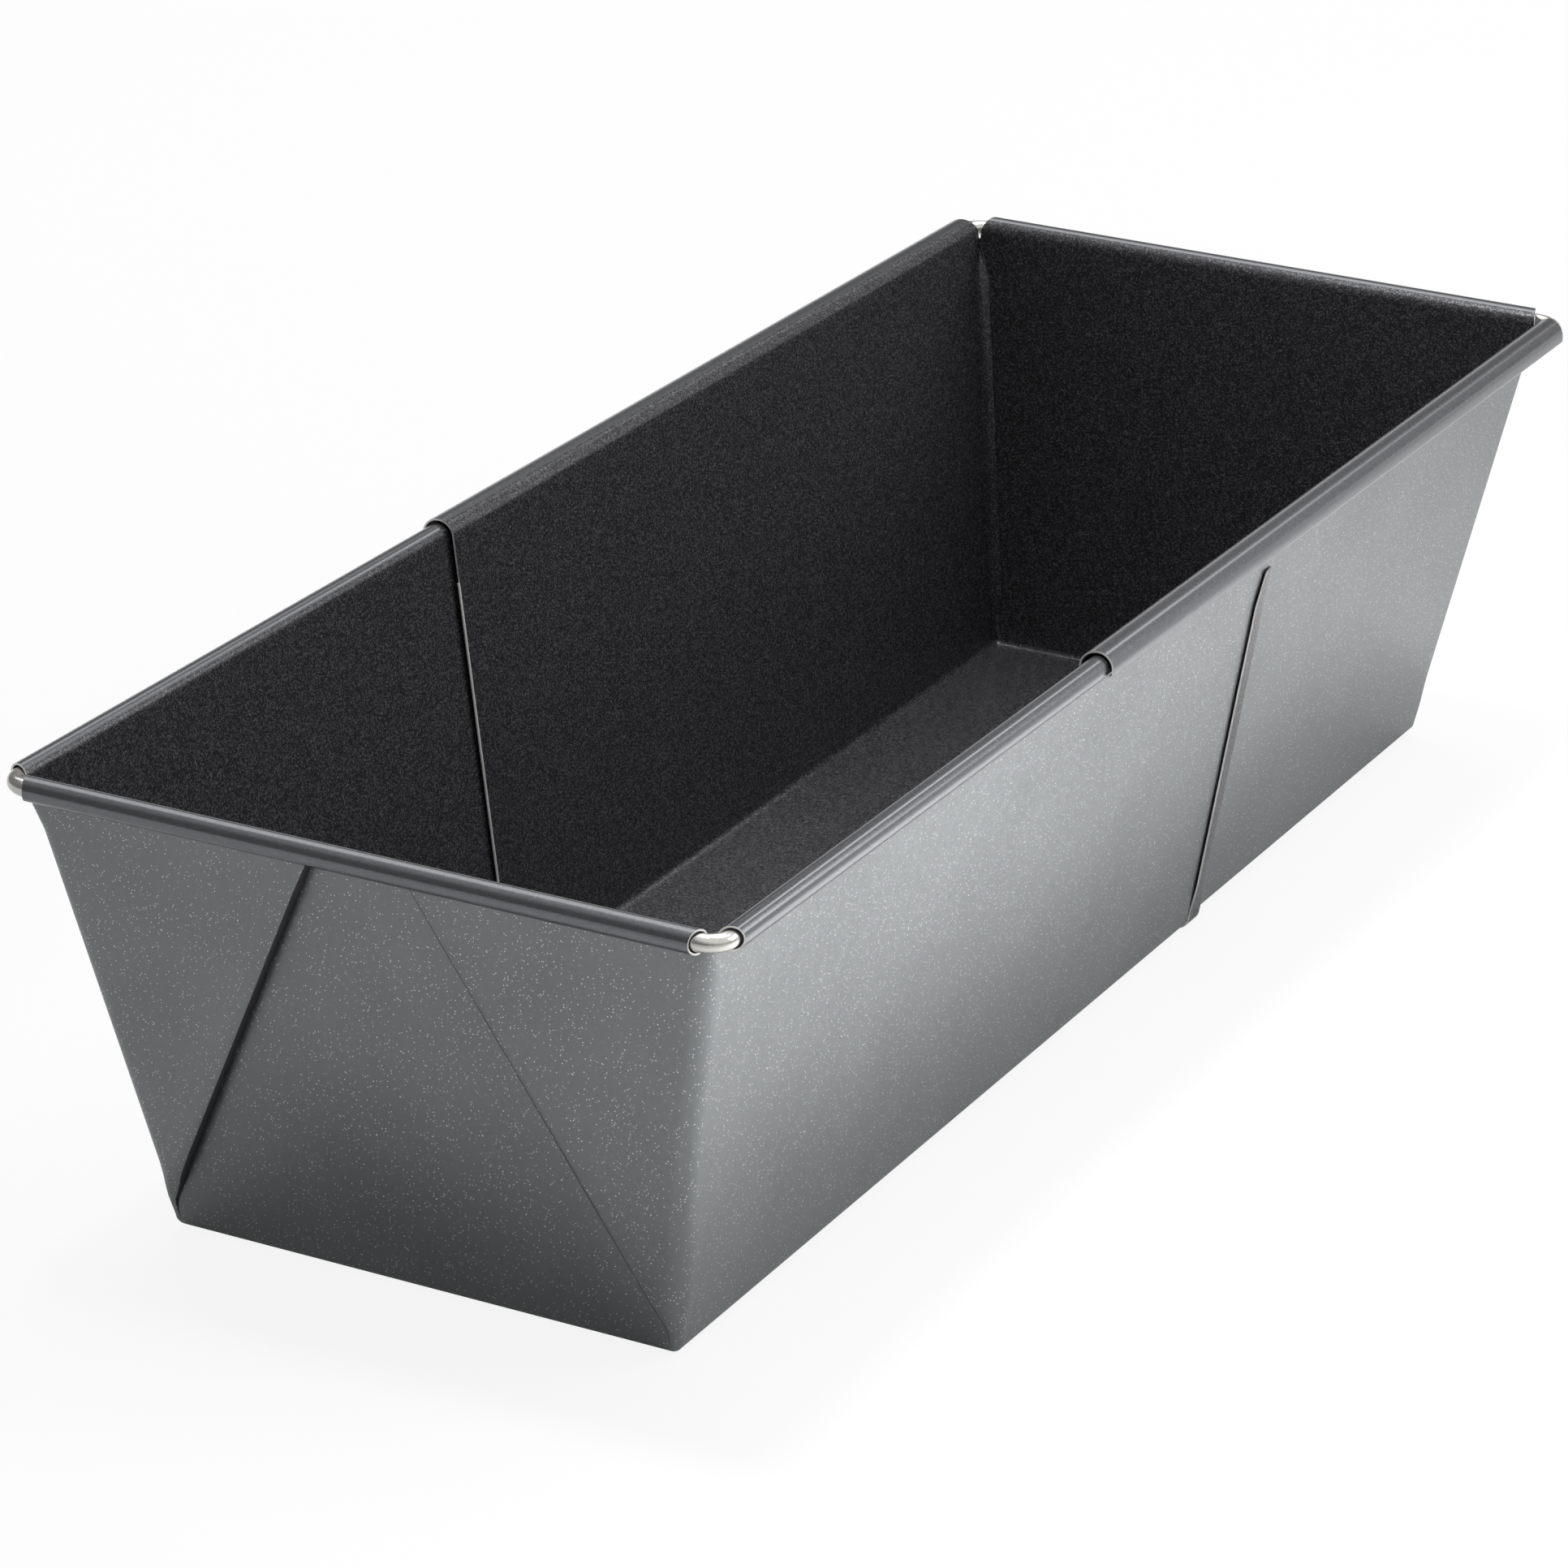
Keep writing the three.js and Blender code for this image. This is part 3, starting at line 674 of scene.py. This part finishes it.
# Drawn steel: wire pulled through a die, so it is bright and smooth with faint lines along it.
# The lines are much finer than a pixel and are drawn at 0.25 mm, twelve times as long as wide.
DRAWN_DARK = "#b9b7b2"
DRAWN_LIGHT = "#dad8d3"
LINES_STRETCH = (1, 0.08, 1)
drawn_steel, tree, shader, place = start_finish("bright_drawn_steel_wire")
stretched = add_node(tree, "ShaderNodeMapping", {"Scale": LINES_STRETCH}, {"Vector": place})
drawing = add_node(tree, "ShaderNodeTexNoise", {"Scale": 1 / (0.25 * MM), "Detail": 4},
                   {"Vector": stretched.outputs["Vector"]})
tone = add_node(tree, "ShaderNodeMix",
                {COLOUR_A: linear(DRAWN_DARK), COLOUR_B: linear(DRAWN_LIGHT)},
                {SHARE_OF_B: drawing.outputs["Fac"]}, data_type="RGBA")
polish = add_node(tree, "ShaderNodeMapRange", {"To Min": 0.10, "To Max": 0.2},
                  {"Value": drawing.outputs["Fac"]})
bump = add_node(tree, "ShaderNodeBump", {"Strength": 0.08, "Distance": 0.02 * MM},
                {"Height": drawing.outputs["Fac"]})
tree.links.new(tone.outputs[MIXED], shader.inputs["Base Color"])
tree.links.new(polish.outputs["Result"], shader.inputs["Roughness"])
tree.links.new(bump.outputs["Normal"], shader.inputs["Normal"])
shader.inputs["Metallic"].default_value = 0.85

front_leg_end = front.open_y(ROLL_Z) - FRONT_WIRE_SETBACK
front_wire = bent_wire("front_bent_wire", ROLL_X, front.roll_y, ROLL_Z, FRONT_WIRE_BEND,
                       front_leg_end, front_place, drawn_steel)
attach(front_wire, "front_body")
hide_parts("front_rim_wire")

# Rear half
# The inner tray, folded from one coated sheet like the front one. Its looser bead hooks over the
# front half's bead and runs on it as a rail, and its hem lies hidden between the two walls.
rear_end_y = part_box("rear_half")[1].y
rear = FoldedHalf(
    length=200.5 * MM,
    edge_slant=3.8 * MM,
    fold_mid=1.4 * MM,
    corner_at_rim=0.5 * MM,
    bead_wall=2.9 * MM,
    bead_top=2.55 * MM,
    bead_outside=2.55 * MM,
    hooked=True,
    notch=0.2 * MM,
    hem_spring=0,
    # The cut finish on half of the rear hem's fold nose is a painted highlight along the fold.
    hem_nose=CUT_EDGE_AND_FOLD_HIGHLIGHT,
    flap_springs=(0.3 * MM, 0.3 * MM),
)
rear_place = Matrix.Translation((0, rear_end_y, 0)) @ Matrix.Rotation(math.pi, 4, "Z")
rear_sheet = folded_sheet("rear_folded_sheet", rear, rear_place, sheet_finishes)
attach(rear_sheet, "rear_body")
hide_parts("rear_half")

# Rear rim wire
# The same drawn wire in the rear half's end bead. Its short legs end behind the corners, so that
# the front half's bead can run in when the pan is pushed together.
REAR_WIRE_SHIFT = 0.6 * MM
REAR_WIRE_RISE = 0.35 * MM
REAR_WIRE_BEND = 5 * MM
REAR_WIRE_LEG = 8 * MM
rear_wire_y = rear.roll_y - REAR_WIRE_SHIFT
rear_leg_end = rear_wire_y + REAR_WIRE_BEND + REAR_WIRE_LEG
rear_wire = bent_wire("rear_bent_wire", ROLL_X + REAR_WIRE_SHIFT, rear_wire_y,
                      ROLL_Z + REAR_WIRE_RISE, REAR_WIRE_BEND, rear_leg_end, rear_place,
                      drawn_steel)
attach(rear_wire, "rear_body")
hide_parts("rear_rim_wire")

# Studio table
# A plain matt white board. The camera sees mostly a white glow of its own, and so only a faint
# shadow of the pan. The metal mirrors the board as it is lit, with a little of that glow.
FLOOR_HALF = 4.0
FLOOR_GAP = 0.02 * MM
TABLE_WHITE = "#f4f4f4"
GLOW_IN_VIEW = 0.88
GLOW_IN_MIRRORS = 0.05
GLOW_THROUGH_GLASS = 0.6
WHITE_LIGHT = (1, 1, 1, 1)

floor_mesh = bpy.data.meshes.new("floor")
floor_mesh.from_pydata(
    [(-FLOOR_HALF, -FLOOR_HALF, 0), (FLOOR_HALF, -FLOOR_HALF, 0),
     (FLOOR_HALF, FLOOR_HALF, 0), (-FLOOR_HALF, FLOOR_HALF, 0)], [], [(0, 1, 2, 3)])
floor = bpy.data.objects.new("floor", floor_mesh)
floor.location.z = front_low.z - FLOOR_GAP
bpy.context.scene.collection.objects.link(floor)

pale_table = bpy.data.materials.new("pale_table")
pale_table.use_nodes = True
tree = pale_table.node_tree
tree.nodes.remove(tree.nodes["Principled BSDF"])
table_rays = add_node(tree, "ShaderNodeLightPath")
in_view = add_node(tree, "ShaderNodeMath", {1: GLOW_IN_VIEW},
                   {0: table_rays.outputs["Is Camera Ray"]}, operation="MULTIPLY")
in_mirrors = add_node(tree, "ShaderNodeMath", {1: GLOW_IN_MIRRORS},
                      {0: table_rays.outputs["Is Glossy Ray"], 2: in_view.outputs[0]},
                      operation="MULTIPLY_ADD")
glowing = add_node(tree, "ShaderNodeMath", {1: GLOW_THROUGH_GLASS},
                   {0: table_rays.outputs["Is Transmission Ray"], 2: in_mirrors.outputs[0]},
                   operation="MULTIPLY_ADD")
glow = add_node(tree, "ShaderNodeEmission", {"Color": WHITE_LIGHT, "Strength": 1.0})
board = add_node(tree, "ShaderNodeBsdfDiffuse", {"Color": linear(TABLE_WHITE)})
table = add_node(tree, "ShaderNodeMixShader", {},
                 {0: glowing.outputs[0], 1: board.outputs[0], 2: glow.outputs[0]})
tree.links.new(table.outputs[0], tree.nodes["Material Output"].inputs["Surface"])
floor_mesh.materials.append(pale_table)

# Studio room
# Walls and ceiling that the camera sees as plain white. In the metal they are brightest above and
# to the right, and along the horizon behind the pan, and all round they give a weak even light.
ROOM_LIGHT = 0.32
CEILING_WAY = (0.45, 0, 0.9)
VALUE_A, VALUE_B = 2, 3

studio = bpy.data.worlds.new("studio")
studio.use_nodes = True
bpy.context.scene.world = studio
tree = studio.node_tree
room_rays = add_node(tree, "ShaderNodeLightPath")
way = add_node(tree, "ShaderNodeTexCoord").outputs["Generated"]
seen_or_mirrored = add_node(tree, "ShaderNodeMath", {},
                            {0: room_rays.outputs["Is Camera Ray"],
                             1: room_rays.outputs["Is Glossy Ray"]}, operation="ADD")
shown = add_node(tree, "ShaderNodeMath", {},
                 {0: seen_or_mirrored.outputs[0], 1: room_rays.outputs["Is Transmission Ray"]},
                 operation="ADD", use_clamp=True)
towards_ceiling = add_node(tree, "ShaderNodeVectorMath", {1: CEILING_WAY}, {0: way},
                           operation="DOT_PRODUCT")
ceiling = add_node(tree, "ShaderNodeMapRange",
                   {"From Min": 0.3, "From Max": 0.75, "To Min": 0.2, "To Max": 1.0},
                   {"Value": towards_ceiling.outputs["Value"]})
direction = add_node(tree, "ShaderNodeSeparateXYZ", links={0: way})
low = add_node(tree, "ShaderNodeMapRange",
               {"From Min": 0.08, "From Max": 0.2, "To Min": 1.0, "To Max": 0.0},
               {"Value": direction.outputs["Z"]})
behind = add_node(tree, "ShaderNodeMapRange", {"From Min": 0.3, "From Max": 0.7},
                  {"Value": direction.outputs["Y"]})
horizon = add_node(tree, "ShaderNodeMath", {},
                   {0: low.outputs["Result"], 1: behind.outputs["Result"]}, operation="MULTIPLY")
mirrored_level = add_node(tree, "ShaderNodeMath", {},
                          {0: ceiling.outputs["Result"], 1: horizon.outputs[0]},
                          operation="MAXIMUM")
shown_level = add_node(tree, "ShaderNodeMath", {},
                       {0: mirrored_level.outputs[0], 1: room_rays.outputs["Is Camera Ray"]},
                       operation="MAXIMUM")
level = add_node(tree, "ShaderNodeMix", {VALUE_A: ROOM_LIGHT},
                 {SHARE_OF_B: shown.outputs[0], VALUE_B: shown_level.outputs[0]})
background = tree.nodes["Background"]
background.inputs["Color"].default_value = WHITE_LIGHT
tree.links.new(level.outputs[0], background.inputs["Strength"])

# Studio lamps
# Three soft boxes hang behind the pan, to the right, to the upper left and overhead, and draw the
# bright lines along its beads. A spot makes a pool of light on the table that the right wall
# mirrors, and a narrow one lights the right rim.
PAN_MIDDLE = (0, 0, 0)


def hang_lamp(name, kind, place, aim, power):
    """A lamp that shines from its place at its aim. Gives its data, for what its kind needs."""
    lamp_data = bpy.data.lights.new(name, kind)
    lamp_data.energy = power
    lamp = bpy.data.objects.new(name, lamp_data)
    lamp.location = Vector(place)
    lamp.rotation_euler = (Vector(place) - Vector(aim)).to_track_quat("Z", "Y").to_euler()
    bpy.context.scene.collection.objects.link(lamp)
    return lamp_data


def soft_box(name, place, width, height, power):
    box_data = hang_lamp(name, "AREA", place, PAN_MIDDLE, power)
    box_data.shape = "RECTANGLE"
    box_data.size = width
    box_data.size_y = height


def soft_spot(name, place, aim, angle, radius, power):
    spot_data = hang_lamp(name, "SPOT", place, aim, power)
    spot_data.spot_size = math.radians(angle)
    spot_data.spot_blend = 1.0
    spot_data.shadow_soft_size = radius


soft_box("right_lamp", (1.15, 0.75, 0.75), width=1.2, height=0.8, power=11)
soft_box("upper_left_lamp", (-0.70, 0.65, 1.25), width=1.2, height=0.9, power=5)
soft_box("overhead_lamp", (0.10, 0.45, 1.45), width=1.2, height=0.7, power=8.5)
soft_spot("table_spot", (-0.05, 0.0, 0.95), (0.15, 0.0, 0), angle=25, radius=0.16, power=92)
soft_spot("rim_spot", (0.20, 0.98, 0.74), (0.11, 0.0, 0.07), angle=12, radius=0.2, power=6)

bpy.context.scene.view_settings.view_transform = "Standard"
